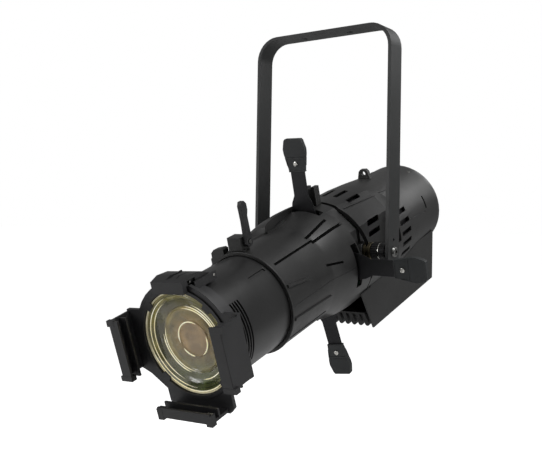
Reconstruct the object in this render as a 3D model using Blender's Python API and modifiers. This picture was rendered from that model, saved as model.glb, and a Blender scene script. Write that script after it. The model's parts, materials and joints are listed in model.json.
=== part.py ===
"""LED ellipsoidal spotlight: a strap yoke, a tilting body with four framing shutters,
a focusing lens tube with an accessory holder, and the light engine inside.

Metres, +Z up. The origin is the middle of the yoke bar's top face, where a hook clamp
bolts on. The lamp hangs below it, facing -Y with its nose tilted down.
"""

import math

import bmesh
import bpy
from mathutils import Matrix

GAP = 0.0004  # clearance between touching pieces

# Yoke
YOKE_WIDTH = 0.2512
YOKE_BEND_RADIUS = 0.038
STRAP_WIDTH = 0.0343
STRAP_THICKNESS = 0.0055
ARM_BELOW_PIVOT = 0.0245
CLAMP_HOLE_SPACING = 0.086
CLAMP_HOLE_RADIUS = 0.005
SCALE_HOLE_RISE = 0.0185  # small hole in each arm, above the pivot

# Tilt pivot: where it is against the optical axis, and how far the nose hangs down
PIVOT_DROP = 0.350
PIVOT_RISE = 0.009
PIVOT_BACK = 0.003
TILT = math.radians(18.1)
BOLT_RADIUS = 0.005

# Body, measured along the optical axis from the pivot, forward positive
BARREL_FRONT = 0.207
SLEEVE_RADIUS = 0.0762
SLEEVE_BORE = 0.0726
SLEEVE_BACK = 0.098
FLARE_RADIUS = 0.0885
PARTING_GAP = 0.003
HOUSING_BACK = -0.271
CAP_BACK = -0.287
SHELL_WALL = 0.003
FLAT_HALF_WIDTH = 0.070  # flats beside the pivots
CHAMFER_REACH = 0.117  # x + height along the chamfer above each flat
FLAT_FLOOR = -0.008
FLAT_FRONT = 0.029
FLAT_BACK = -0.105

# Framing shutters: planes along the axis, travel, sizes
GATE_PLANES = (0.030, 0.046)
# plane, angle in degrees and how far each one is pushed in from fully open
SHUTTERS = {
    "top": (0.0365, 88.9, 0.002),
    "bottom": (0.0335, -82.5, 0.011),
    "near": (0.0395, -0.5, 0.003),
    "far": (0.0425, 183.5, 0.003),
}
GATE_RADIUS = 0.038
BLADE_EDGE = 0.043  # the blade's straight edge, drawn out
STEM_HALF_WIDTH = 0.013
GRIP_INNER, GRIP_OUTER = 0.150, 0.2015
GRIP_HALF_WIDTH = 0.0195
GRIP_THICKNESS = 0.007
SHUTTER_SCREW_AT = 0.1637
SLOT_HALF_WIDTH = 0.034

# Lens tube and accessory holder, which stand turned a little on the optical axis
LENS_TURN = math.radians(2.7)
TUBE_RADIUS = 0.0716
TUBE_BORE = 0.0690
TUBE_BACK, TUBE_FRONT = 0.105, 0.3323
LENS_RADIUS = 0.0708
COLLAR_BACK, COLLAR_RADIUS = 0.314, 0.0765
RING_RADIUS, EAR_BACK = 0.0800, 0.3345
HOLDER_BACK, HOLDER_FACE, HOLDER_FRONT = 0.330, 0.340, 0.3755
HOLDER_HALF, HOLDER_FLOOR = 0.0955, -0.091
HOLDER_WALL = 0.004
LIP = 0.003
MID_LIP_FRONT = 0.360
LATCH_HALF = 0.027
LATCH_PIN_AT = (0.0766, 0.2930)  # height, forward

# Driver box below the rear housing
BOX_HALF_WIDTH = 0.0725
BOX_FLOOR = -0.120
BOX_TOP = -0.0385
BOX_FRONT, BOX_REAR = -0.002, -0.229  # at the floor; both ends lean back by the tilt
FIN_PITCH = 0.012
FIN_COUNT = 11

TURN = 48  # segments round a large turned piece
SMALL_TURN = 20

MATERIALS = {
    "casting": ((0.045, 0.045, 0.046), 0.48, 0.0),
    "strap": ((0.040, 0.042, 0.042), 0.50, 0.0),
    "grip": ((0.040, 0.042, 0.044), 0.55, 0.0),
    "blade": ((0.060, 0.060, 0.062), 0.40, 0.8),
    "steel": ((0.62, 0.61, 0.58), 0.30, 1.0),
    "brass": ((0.60, 0.50, 0.28), 0.35, 1.0),
    "aluminium": ((0.55, 0.56, 0.57), 0.40, 1.0),
    "glass": ((0.80, 0.78, 0.62), 0.05, 0.0),
    "board": ((0.03, 0.16, 0.07), 0.50, 0.0),
    "emitter": ((0.85, 0.70, 0.15), 0.45, 0.0),
    "plastic": ((0.030, 0.030, 0.032), 0.45, 0.0),
    "screen": ((0.010, 0.014, 0.020), 0.10, 0.0),
}


# ---------------------------------------------------------------- helpers


def clear_scene():
    for old in list(bpy.data.objects):
        bpy.data.objects.remove(old, do_unlink=True)


def new_collection(name):
    made = bpy.data.collections.new(name)
    bpy.context.scene.collection.children.link(made)
    return made


def new_material(name):
    colour, roughness, metallic = MATERIALS[name]
    made = bpy.data.materials.new(name)
    made.use_nodes = True
    shader = made.node_tree.nodes["Principled BSDF"]
    shader.inputs["Base Color"].default_value = (*colour, 1.0)
    shader.inputs["Roughness"].default_value = roughness
    shader.inputs["Metallic"].default_value = metallic
    return made


def empty(name, parent=None, location=(0, 0, 0), rotation=(0, 0, 0)):
    made = bpy.data.objects.new(name, None)
    made.empty_display_size = 0.03
    PARTS.objects.link(made)
    made.parent = parent
    made.location = location
    made.rotation_euler = rotation
    return made


def mesh_object(name, mesh):
    made = bpy.data.objects.new(name, mesh)
    PARTS.objects.link(made)
    return made


def from_bmesh(name, shape):
    mesh = bpy.data.meshes.new(name)
    shape.to_mesh(mesh)
    shape.free()
    return mesh_object(name, mesh)


def block(name, low, high):
    """A box between two corners."""
    size = [b - a for a, b in zip(low, high)]
    middle = [(a + b) / 2 for a, b in zip(low, high)]
    shape = bmesh.new()
    bmesh.ops.create_cube(shape, size=1.0, matrix=Matrix.Translation(middle) @ Matrix.Diagonal((*size, 1)))
    return from_bmesh(name, shape)


def turned(name, outline, closed=True, segments=TURN):
    """A turned piece about local Z. The outline's (z, radius) points run down its outer side."""
    mesh = bpy.data.meshes.new(name)
    edges = [(i, i + 1) for i in range(len(outline) - 1)]
    if closed:
        edges.append((len(outline) - 1, 0))
    mesh.from_pydata([(radius, 0, z) for z, radius in outline], edges, [])
    made = mesh_object(name, mesh)
    screw = made.modifiers.new("Turn", "SCREW")
    screw.steps = screw.render_steps = segments
    screw.use_merge_vertices = True
    screw.merge_threshold = 0.00001
    screw.use_smooth_shade = True
    return made


def ring(name, low, high, bore, radius, segments=SMALL_TURN):
    return turned(name, [(high, radius), (low, radius), (low, bore), (high, bore)], True, segments)


def disc(name, low, high, radius, segments=SMALL_TURN):
    return turned(name, [(high, 0), (high, radius), (low, radius), (low, 0)], False, segments)


def plate(name, outlines, low, high):
    """Flat outlines in local XY, filled between them, from z = low to z = high."""
    curve = bpy.data.curves.new(name, "CURVE")
    curve.dimensions = "2D"
    curve.fill_mode = "BOTH"
    curve.extrude = (high - low) / 2
    for outline in outlines:
        spline = curve.splines.new("POLY")
        spline.points.add(len(outline) - 1)
        for point, (x, y) in zip(spline.points, outline):
            point.co = (x, y, 0, 1)
        spline.use_cyclic_u = True
    drawn = bpy.data.objects.new(name, curve)
    PARTS.objects.link(drawn)
    depsgraph = bpy.context.evaluated_depsgraph_get()
    mesh = bpy.data.meshes.new_from_object(drawn.evaluated_get(depsgraph))
    bpy.data.objects.remove(drawn)
    shape = bmesh.new()
    shape.from_mesh(mesh)
    bmesh.ops.remove_doubles(shape, verts=shape.verts, dist=0.00001)
    bmesh.ops.translate(shape, verts=shape.verts, vec=(0, 0, (low + high) / 2))
    shape.to_mesh(mesh)
    shape.free()
    return mesh_object(name, mesh)


def arc(radius, start, end, steps, centre=(0.0, 0.0)):
    """Points on an arc, angles in degrees."""
    angles = [math.radians(start + (end - start) * i / steps) for i in range(steps + 1)]
    return [(centre[0] + radius * math.cos(a), centre[1] + radius * math.sin(a)) for a in angles]


def circle(radius, steps=TURN, centre=(0.0, 0.0)):
    return arc(radius, 0, 360, steps, centre)[:-1]


def boolean(piece, other, operation):
    """Cut, join or intersect with another object, which becomes a hidden cutter."""
    step = piece.modifiers.new(operation.title(), "BOOLEAN")
    step.operation = operation
    step.object = other
    if other.name not in CUTTERS.objects:
        PARTS.objects.unlink(other)
        CUTTERS.objects.link(other)
        other.hide_render = True
        other.display_type = "WIRE"


def cut(piece, *cutters):
    for cutter in cutters:
        boolean(piece, cutter, "DIFFERENCE")


def join(piece, *additions):
    for addition in additions:
        boolean(piece, addition, "UNION")


def place(piece, material, parent):
    """Hang a piece, and its own cutters, on the frame that it belongs to."""
    piece.data.materials.append(SLOTS[material])
    hang(piece, parent)
    return piece


def hang(piece, parent):
    piece.parent = parent
    for step in piece.modifiers:
        if step.type == "BOOLEAN" and step.object.parent is None:
            hang(step.object, parent)


# ---------------------------------------------------------------- yoke and pivots


def build_yoke():
    half, inner = YOKE_WIDTH / 2, YOKE_WIDTH / 2 - STRAP_THICKNESS
    bend, foot = YOKE_BEND_RADIUS, -PIVOT_DROP - ARM_BELOW_PIVOT
    right = (half - bend, -bend)
    left = (bend - half, -bend)
    outline = [(half, foot), *arc(bend, 0, 90, 8, right), *arc(bend, 90, 180, 8, left), (-half, foot)]
    outline += [(-inner, foot), *arc(bend - STRAP_THICKNESS, 180, 90, 8, left)]
    outline += [*arc(bend - STRAP_THICKNESS, 90, 0, 8, right), (inner, foot)]
    yoke = plate("yoke", [outline], -STRAP_WIDTH / 2, STRAP_WIDTH / 2)
    yoke.rotation_euler.x = math.pi / 2
    for side in (-1, 1):
        clamp_hole = disc("clamp_hole", -0.02, 0.02, CLAMP_HOLE_RADIUS, 16)
        clamp_hole.location.x = side * CLAMP_HOLE_SPACING / 2
        cut(yoke, clamp_hole)
        for drop, radius in ((PIVOT_DROP, BOLT_RADIUS + 0.0005), (PIVOT_DROP - SCALE_HOLE_RISE, 0.0025)):
            hole = disc("arm_hole", -0.02, 0.02, radius, 16)
            hole.rotation_euler.y = math.pi / 2
            hole.location = (side * half, 0, -drop)
            cut(yoke, hole)
        for end in (-1, 1):
            corner = block("corner", (-0.02, -0.012, -0.012), (0.02, 0.012, 0.012))
            corner.rotation_euler.x = math.pi / 4
            corner.location = (side * half, end * (STRAP_WIDTH / 2 + 0.009), foot - 0.009)
            cut(yoke, corner)
    place(yoke, "strap", None)


def knurled(name, low, high, radius, ribs):
    """A ribbed knob about local Z with a clear bore for the pivot bolt."""
    outline = []
    for i in range(ribs):
        for share, reach in ((0.0, 1.0), (0.3, 1.0), (0.5, 0.92), (0.8, 0.92)):
            angle = 2 * math.pi * (i + share) / ribs
            outline.append((radius * reach * math.cos(angle), radius * reach * math.sin(angle)))
    return plate(name, [outline, circle(BOLT_RADIUS + 0.0005, 16)], low, high)


def build_pivots(tilt):
    """On each side: hub on the housing, friction disc, knob, and a bolt through the arm."""
    inner = YOKE_WIDTH / 2 - STRAP_THICKNESS
    outer = YOKE_WIDTH / 2
    for side, word in ((1, "near"), (-1, "far")):
        turn = (0, side * math.pi / 2, 0)
        bore = BOLT_RADIUS + 0.0005
        hub = ring("pivot_hub_" + word, FLAT_HALF_WIDTH + GAP, 0.0785, bore, 0.0160)
        friction = ring("friction_disc_" + word, 0.0789, 0.0920, bore, 0.0140)
        knob = knurled("tilt_knob_" + word, 0.0924, inner - GAP, 0.0145, 16)
        bolt = turned(
            "pivot_bolt_" + word,
            [(outer + 0.005, 0), (outer + 0.005, 0.006), (outer + GAP, 0.008), (outer + GAP, BOLT_RADIUS),
             (0.0715, BOLT_RADIUS), (0.0715, 0)],
            False, SMALL_TURN,
        )
        for piece, material in ((hub, "casting"), (friction, "brass"), (knob, "plastic"), (bolt, "steel")):
            piece.rotation_euler = turn
            place(piece, material, tilt)


# ---------------------------------------------------------------- barrel and rear housing


def pocket_cutters(inset):
    """What is missing from the round body beside each pivot: a flat and a chamfer above it."""
    made = []
    flat, chamfer = FLAT_HALF_WIDTH - inset, CHAMFER_REACH / math.sqrt(2) - inset
    front, back = FLAT_FRONT + inset, FLAT_BACK - inset
    for side in (-1, 1):
        low, high = sorted((side * flat, side * 0.12))
        made.append(block("flat", (low, FLAT_FLOOR - inset, back), (high, 0.06, front)))
        bevel = block("chamfer", (-0.06, chamfer, back), (0.06, 0.13, front))
        bevel.rotation_euler.z = -side * math.pi / 4
        made.append(bevel)
    return made


def body_shell(name, outline, wall, pockets):
    """A turned shell with flats: the outer form, less the same form drawn in by the wall."""
    front, back = outline[0][0], outline[-1][0]
    shell = turned(name, [(front, 0), *outline, (back, 0)], False)
    inner_outline = [(z, radius - wall) for z, radius in outline]
    front_end = [(front + 0.01, 0), (front + 0.01, inner_outline[0][1])]
    back_end = [(back - 0.01, inner_outline[-1][1]), (back - 0.01, 0)]
    hollow = turned(name + "_hollow", front_end + inner_outline + back_end, False)
    if pockets:
        cut(shell, *pocket_cutters(0))
        cut(hollow, *pocket_cutters(wall))
    cut(shell, hollow)
    return shell


def shutter_slots():
    made = []
    for angle in (0, 90, 180, 270):
        slot = block("shutter_slot", (0.055, -SLOT_HALF_WIDTH, GATE_PLANES[0] + 0.0015),
                     (0.11, SLOT_HALF_WIDTH, GATE_PLANES[1] - 0.0015))
        slot.rotation_euler.z = math.radians(angle)
        made.append(slot)
    return made


def barrel_hump():
    """The raised shoulder on the upper far side, with a steep front, as a thick sector."""
    outer = [(0.120, 0.0772), (0.1165, 0.0860), (0.108, 0.0902), (0.092, 0.0926), (0.060, 0.0943),
             (0.033, 0.0940), (0.006, 0.0915)]
    inner = [(0.002, 0.0880), (0.030, 0.0868), (0.055, 0.0845), (0.093, 0.0755), (0.120, 0.0745)]
    hump = turned("hump", outer + inner)
    sector = plate("hump_sector", [[(0, 0), *arc(0.13, 101, 152, 4)]], 0, 0.13)
    boolean(hump, sector, "INTERSECT")
    return hump


def build_barrel(axis):
    """The shutter barrel in two castings that meet on the level of the optical axis."""
    wall = SLEEVE_RADIUS - SLEEVE_BORE
    outline = [
        (BARREL_FRONT, SLEEVE_RADIUS), (SLEEVE_BACK, SLEEVE_RADIUS), (0.093, 0.0772), (0.055, 0.0862),
        (0.030, FLARE_RADIUS), (PARTING_GAP / 2, FLARE_RADIUS),
    ]
    for name, low, high in (("barrel_upper", -0.12, GAP / 2), ("barrel_lower", -GAP / 2, 0.12)):
        shell = body_shell(name, outline, wall, True)
        if name == "barrel_upper":
            join(shell, barrel_hump())
        cut(shell, block("half", (-0.12, low, -0.02), (0.12, high, 0.25)), *shutter_slots())
        place(shell, "casting", axis)


def vent_cutters():
    """Louvre slots: (angles in degrees, start, end) for the top and both sides."""
    made = []
    side_groups = (((32, 20), -0.070, -0.033), ((24, 12, 0, -12, -24), -0.149, -0.112))
    groups = [((65, 80, 95, 110), -0.074, -0.036)]
    for angles, back, front in side_groups:
        groups += [(angles, back, front), ([180 - a for a in angles], back, front)]
    for angles, back, front in groups:
        for angle in angles:
            slot = block("vent", (0.05, -0.004, back), (0.1, 0.004, front))
            slot.rotation_euler.z = math.radians(angle)
            made.append(slot)
    return made


def housing_outline():
    return [(-PARTING_GAP / 2, FLARE_RADIUS), (-0.089, FLARE_RADIUS), (-0.135, 0.0862),
            (-0.185, 0.0822), (-0.242, 0.0802), (HOUSING_BACK, 0.0796)]


def build_housing(axis):
    housing = body_shell("rear_housing", housing_outline(), SHELL_WALL, True)
    cut(housing, *vent_cutters())
    place(housing, "casting", axis)

    lug_outline = [(-0.013, 0.079), (0.013, 0.079), (0.0085, 0.0965), (0.0045, 0.1005),
                   (-0.0045, 0.1005), (-0.0085, 0.0965)]
    lug = plate("safety_lug", [lug_outline, circle(0.0042, 16, (0, 0.0930))], -0.170, -0.162)
    cut(lug, turned("housing_form", grown_housing(GAP), False))
    place(lug, "casting", axis)

    tab = block("slot_cover", (-0.005, 0.080, 0.004), (0.0150, 0.118, 0.018))
    cut(tab, disc("barrel_form", -0.01, 0.03, FLARE_RADIUS + GAP, TURN))
    place(tab, "casting", axis)


def grown_housing(extra):
    """The rear housing's outer form, a little larger, closed on the axis."""
    outline = [(z, radius + extra) for z, radius in housing_outline()]
    back = CAP_BACK - 0.01
    return [(0.05, 0), (0.05, outline[0][1]), *outline, (back, outline[-1][1]), (back, 0)]


# ---------------------------------------------------------------- shutters


def gate_outline(radius, half_width):
    """A round plate whose sides are cut back to the flats."""
    return [(max(-half_width, min(half_width, x)), y) for x, y in circle(radius, 32)]


def build_gate(axis):
    for name, at in zip(("shutter_gate_rear", "shutter_gate_front"), GATE_PLANES):
        outline = gate_outline(0.0775, FLAT_HALF_WIDTH - SHELL_WALL - 0.0045)
        gate = plate(name, [outline, circle(GATE_RADIUS, 32)], at - 0.001, at + 0.001)
        place(gate, "blade", axis)


def build_shutters(axis):
    """Each shutter is drawn along local +X, outwards, and turned to its own angle."""
    stem, grip = STEM_HALF_WIDTH, GRIP_HALF_WIDTH
    blade_half = [(BLADE_EDGE, 0.041), (0.062, 0.041), (0.074, 0.024), (0.100, 0.019), (0.112, stem),
                  (0.170, stem)]
    grip_half = [(GRIP_INNER, stem + 0.0008), (0.179, grip - 0.0004), (0.186, grip), (0.199, 0.0160),
                 (GRIP_OUTER, 0.0135)]
    for word, (plane, degrees, push) in SHUTTERS.items():
        turn = math.radians(degrees)
        blade = plate("shutter_blade_" + word, [both_sides(blade_half)], -0.0006, 0.0006)
        thick = GRIP_THICKNESS / 2
        handle = plate("shutter_grip_" + word, [both_sides(grip_half)], -thick, thick)
        slot_side = stem + GAP
        cut(handle, block("stem_slot", (GRIP_INNER - 0.01, -slot_side, -0.0012), (0.172, slot_side, 0.0012)))
        screw = turned("shutter_screw_" + word,
                       [(0.0052, 0), (0.0052, 0.003), (0.0039, 0.004), (0.0039, 0.0018),
                        (-0.0030, 0.0018), (-0.0030, 0)], False, 12)
        screw.location.x = SHUTTER_SCREW_AT
        for piece in (blade, handle):
            hole = disc("screw_hole", -0.01, 0.01, 0.0022, 12)
            hole.location.x = SHUTTER_SCREW_AT
            cut(piece, hole)
        seat = (-push * math.cos(turn), -push * math.sin(turn), plane)
        frame = empty("shutter_axis_" + word, axis, seat, (0, 0, turn))
        for piece, material in ((blade, "blade"), (handle, "grip"), (screw, "steel")):
            place(piece, material, frame)


def both_sides(half):
    """An outline from the points of its upper half, mirrored about local X."""
    return half + [(x, -y) for x, y in reversed(half)]


# ---------------------------------------------------------------- focus clamp


def build_focus_clamp(axis):
    """A clamp on the sleeve: a boss for the cross bolt, a band and a low stop at its far end."""
    bolt_height, bolt_at = 0.0880, 0.191
    clamp = block("focus_clamp", (-0.0190, 0.065, 0.184), (0.0040, 0.0960, 0.2030))
    stop = plate("clamp_stop", [[(-0.0500, 0.050), (-0.0500, 0.0735), (-0.0450, 0.0785), (-0.0300, 0.0815),
                                 (-0.0265, 0.0795), (-0.0265, 0.060)]], 0.1945, 0.2065)
    band_outline = arc(0.0786, 84, 126, 10) + arc(0.0740, 126, 84, 10)
    join(clamp, stop, plate("clamp_band", [band_outline], 0.1965, 0.2025))
    sleeve_form = disc("sleeve_form", 0.15, 0.25, SLEEVE_RADIUS + GAP, TURN)
    bolt_hole = disc("bolt_hole", -0.06, 0.02, 0.0034, 12)
    bolt_hole.rotation_euler.y = math.pi / 2
    bolt_hole.location = (0, bolt_height, bolt_at)
    cut(clamp, sleeve_form, bolt_hole)
    place(clamp, "casting", axis)

    pivot = empty("focus_lever_axis", axis, (0, bolt_height, bolt_at), (0, math.pi / 2, 0))
    bolt = turned("focus_clamp_bolt", [(0.0130, 0), (0.0130, 0.003), (-0.0194, 0.003), (-0.0194, 0.0055),
                                       (-0.0230, 0.0055), (-0.0230, 0)], False, 12)
    place(bolt, "steel", pivot)
    # in the lever's own plane, +Y is up and -X is forward
    outline = [*arc(0.0075, 200, 340, 6), (0.0052, 0.012), (0.0045, 0.036), (0.0072, 0.044), (0.0068, 0.053),
               (0.0025, 0.058), (-0.0035, 0.058), (-0.0062, 0.052), (-0.0052, 0.030), (-0.0060, 0.010)]
    lever = plate("focus_lever", [outline, circle(0.0034, 12)], 0.0048, 0.0120)
    place(lever, "plastic", pivot)


# ---------------------------------------------------------------- lens tube and accessory holder


def cap_points(apex, rim, radius, steps=6):
    """A spherical lens face from its apex on the axis to its rim, as (z, radius) points."""
    sag = apex - rim
    sphere = (radius**2 + sag**2) / (2 * sag)
    made = []
    for i in range(steps + 1):
        r = radius * i / steps
        made.append((apex - sphere + math.copysign(math.sqrt(sphere**2 - r**2), sphere), r))
    return made


def build_lens_tube(axis):
    tube = turned("lens_tube", [(TUBE_FRONT, TUBE_RADIUS), (TUBE_BACK, TUBE_RADIUS),
                                (TUBE_BACK, TUBE_BORE), (TUBE_FRONT, TUBE_BORE)])
    place(tube, "casting", axis)

    front = turned("front_lens", cap_points(0.3455, 0.3390, LENS_RADIUS)
                   + [(TUBE_FRONT + GAP, LENS_RADIUS), (TUBE_FRONT + GAP, 0)], False)
    place(front, "glass", axis)

    rear_face = [(0.4300 - z, r) for z, r in reversed(cap_points(0.2150, 0.2060, 0.066))]
    rear = turned("rear_lens", cap_points(0.2450, 0.2300, 0.066) + rear_face, False)
    place(rear, "glass", axis)
    seat = ring("rear_lens_ring", 0.2325, 0.2350, 0.0640, 0.0686, TURN)
    rim = ring("seat_rim", 0.2235, 0.2330, 0.0664, 0.0686, TURN)
    join(seat, rim)
    place(seat, "plastic", axis)


def holder_outline():
    """The back plate: an ear each side, a foot below and the upper arc round the lens."""
    right = [(HOLDER_HALF, 0.044), (HOLDER_HALF, -0.040), (0.079, -0.048), (0.055, -0.068), (0.055, -0.086),
             (0.047, -0.0935)]
    return right + [(-x, y) for x, y in reversed(right)] + arc(0.084, 148.4, 31.6, 12)


def build_holder(axis):
    """Collar and back plate round the lens, and three channels with two slots each."""
    seat = circle(LENS_RADIUS + GAP * 2)
    ring_front, bore = EAR_BACK + 0.001, TUBE_RADIUS + GAP
    holder = turned("accessory_holder", [
        (ring_front, RING_RADIUS), (HOLDER_BACK, RING_RADIUS), (HOLDER_BACK, COLLAR_RADIUS),
        (COLLAR_BACK, COLLAR_RADIUS), (COLLAR_BACK, bore), (ring_front, bore),
    ])
    face = plate("holder_face", [holder_outline(), seat], EAR_BACK, HOLDER_FACE)
    parts = [face]
    base, front = HOLDER_FACE - 0.001, HOLDER_FRONT
    half, floor, wall = HOLDER_HALF, HOLDER_FLOOR, HOLDER_WALL
    for side in (-1, 1):
        # (inner x, bottom, back, outer x, top, front): wall, lips, and end pieces of the front lip
        for near, bottom, back, far, top, ahead in (
            (half - wall, -0.0395, base, half, 0.0415, front - 0.0005),
            (0.0785, -0.0410, front - LIP, half - 0.0005, 0.0410, front),
            (0.0795, -0.0430, MID_LIP_FRONT - LIP, half - 0.0010, 0.0400, MID_LIP_FRONT),
            (0.0785, -0.0440, front - 0.0085, 0.0985, -0.0370, front + 0.0003),
            (0.0860, 0.0335, front - 0.0060, 0.0990, 0.0418, front + 0.0003),
        ):
            low, high = sorted((side * near, side * far))
            parts.append(block("side_channel", (low, bottom, back), (high, top, ahead)))
        low, high = sorted((side * 0.0370, side * 0.0465))
        end = ((low, floor - 0.003, front - 0.0085), (high, -0.0785, front + 0.0003))
        parts.append(block("floor_end", *end))
    parts += [
        block("floor_wall", (-0.0455, floor, base), (0.0455, floor + wall, front - 0.0005)),
        block("floor_lip", (-0.0450, floor + 0.0005, front - LIP), (0.0450, -0.0765, front)),
        block("mid_lip", (-0.046, floor + 0.001, MID_LIP_FRONT - LIP), (0.046, -0.0765, MID_LIP_FRONT)),
    ]
    join(holder, *parts)
    cut(holder, block("latch_room", (-LATCH_HALF - 0.001, 0.0785, 0.30), (LATCH_HALF + 0.001, 0.12, 0.36)))
    height, forward = LATCH_PIN_AT
    for side in (-1, 1):
        low, high = sorted((side * (LATCH_HALF + 0.001), side * (LATCH_HALF + 0.0035)))
        top = height + 0.0045
        ear = block("latch_ear", (low, 0.0700, forward - 0.0045), (high, top, HOLDER_BACK + 0.001))
        hole = disc("pin_hole", -0.04, 0.04, 0.0022, 12)
        hole.rotation_euler.y = math.pi / 2
        hole.location = (0, height, forward)
        cut(ear, hole)
        join(holder, ear)
    place(holder, "casting", axis)

    inner = []
    for tab in range(4):
        start = 45 + 90 * tab
        inner += arc(0.0655, start - 5, start + 5, 2)
        inner += arc(LENS_RADIUS + GAP * 2, start + 5.5, start + 84.5, 10)
    seat_face = HOLDER_FACE + GAP
    retainer = plate("lens_retainer", [circle(COLLAR_RADIUS), inner], seat_face, seat_face + 0.0018)
    place(retainer, "plastic", axis)


def build_latch(axis):
    """The retaining latch over the top of the slots, hinged at its tail on two long ears."""
    height, forward = LATCH_PIN_AT
    pivot = empty("latch_axis", axis, (0, height, forward), (0, -math.pi / 2, 0))
    # in the latch's own plane, +X is forward and +Y is up
    side = [(0.350, 0.0710), (0.350, 0.0868), (0.336, 0.0912), (0.316, 0.0895), (0.2965, 0.0805)]
    outline = [(z - forward, y - height) for z, y in side]
    outline += arc(0.0042, 100, 270, 5)
    outline += [(0.0175, -0.0042), (0.0195, 0.0026), (0.0502, 0.0026), (0.0502, -0.0056)]
    latch = plate("top_latch", [outline, circle(0.0022, 12)], -LATCH_HALF, LATCH_HALF)
    place(latch, "casting", pivot)
    pin = disc("latch_pin", -LATCH_HALF - 0.0038, LATCH_HALF + 0.0038, 0.0018, 12)
    place(pin, "steel", pivot)


# ---------------------------------------------------------------- light engine


def build_engine(axis):
    fins = []
    for i in range(20):
        for share, reach in ((0.0, 0.056), (0.35, 0.056), (0.5, 0.030), (0.85, 0.030)):
            angle = 2 * math.pi * (i + share) / 20
            fins.append((reach * math.cos(angle), reach * math.sin(angle)))
    place(plate("led_heatsink", [fins], -0.140, -0.075), "aluminium", axis)
    place(disc("led_board", -0.0746, -0.0726, 0.034, 24), "board", axis)
    place(disc("led_emitter", -0.0722, -0.0702, 0.0145, 24), "emitter", axis)
    collimator = turned("collimator", [(-0.018, 0.0500), (-0.045, 0.0430), (-0.069, 0.0190),
                                       (-0.069, 0.0165), (-0.045, 0.0405), (-0.018, 0.0475)], True, 32)
    place(collimator, "aluminium", axis)
    condenser = turned("condenser_lens", cap_points(0.006, -0.006, 0.048) + [(-0.0120, 0.048), (-0.0120, 0)],
                       False, 32)
    place(condenser, "glass", axis)

    frame = plate("fan_frame", [[(0.046, 0.046), (-0.046, 0.046), (-0.046, -0.046), (0.046, -0.046)],
                                circle(0.0435, 32)], -0.185, -0.160)
    bridge = block("fan_bridge", (-0.045, -0.005, -0.185), (0.045, 0.005, -0.182))
    motor = disc("fan_motor", -0.185, -0.181, 0.017, 24)
    join(frame, bridge, motor)
    place(frame, "plastic", axis)
    rotor = disc("fan_rotor", -0.1795, -0.1620, 0.0180, 24)
    for i in range(7):
        blade = block("fan_blade", (0.0150, -0.0008, -0.009), (0.0410, 0.0008, 0.009))
        turn = Matrix.Rotation(2 * math.pi * i / 7, 4, "Z") @ Matrix.Rotation(math.radians(50), 4, "X")
        blade.data.transform(Matrix.Translation((0, 0, -0.1705)) @ turn)
        join(rotor, blade)
    place(rotor, "plastic", axis)
    place(block("driver_board", (-0.042, -0.0635, -0.150), (0.042, -0.0615, -0.030)), "board", axis)


# ---------------------------------------------------------------- driver box


def box_ends(height):
    """Where the driver box's front and back are at a height: both slope outwards going up."""
    spread = (height - BOX_FLOOR) * math.tan(TILT)
    return BOX_FRONT + spread, BOX_REAR - spread


def box_side(low, high, front_gain, wall):
    """The box seen from the side, as (forward, height) points."""
    points = []
    for height, ends in ((low, (0, 1)), (high, (1, 0))):
        front, back = box_ends(height)
        pair = ((front + front_gain, height), (back + wall, height))
        points += [pair[ends[1]], pair[ends[0]]]
    return points


def build_driver_box(axis):
    """A cover with two sides and a back, closed above by the housing and below by the fins."""
    half, wall, past = BOX_HALF_WIDTH, 0.0025, 0.02
    cover = plate("driver_box", [box_side(BOX_FLOOR, BOX_TOP, 0, 0)], -half, half)
    inside = box_side(BOX_FLOOR - past, BOX_TOP + past, past, wall)
    hollow = plate("box_hollow", [inside], wall - half, half - wall)
    for piece in (cover, hollow):
        piece.rotation_euler.y = -math.pi / 2
    cut(cover, hollow, turned("housing_form_box", grown_housing(GAP), False),
        disc("barrel_clearance", -0.01, 0.08, FLARE_RADIUS + 0.002, TURN))
    place(cover, "casting", axis)

    sink = plate("driver_heatsink", [comb_outline()], BOX_REAR + 0.006, BOX_FRONT + 0.015)
    slope = block("front_slope", (-0.1, -0.06, 0), (0.1, 0.06, 0.06))
    slope.rotation_euler.x = TILT
    slope.location = (0, BOX_FLOOR, BOX_FRONT - 0.002)
    cut(sink, slope)
    place(sink, "casting", axis)


def comb_outline():
    """Base bar with round-ended fins hanging from it, as (x, height)."""
    base_top, base, tip = -0.0925, -0.0965, BOX_FLOOR + 0.0005
    radius = 0.0034
    span = (FIN_COUNT - 1) / 2 * FIN_PITCH
    points = [(-span - radius, base_top)]
    for i in range(FIN_COUNT):
        x = i * FIN_PITCH - span
        points += [(x - radius, base), *arc(radius, 180, 360, 4, (x, tip + radius)), (x + radius, base)]
    del points[1], points[-1]
    points.append((span + radius, base_top))
    return points


# ---------------------------------------------------------------- rear panel


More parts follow.
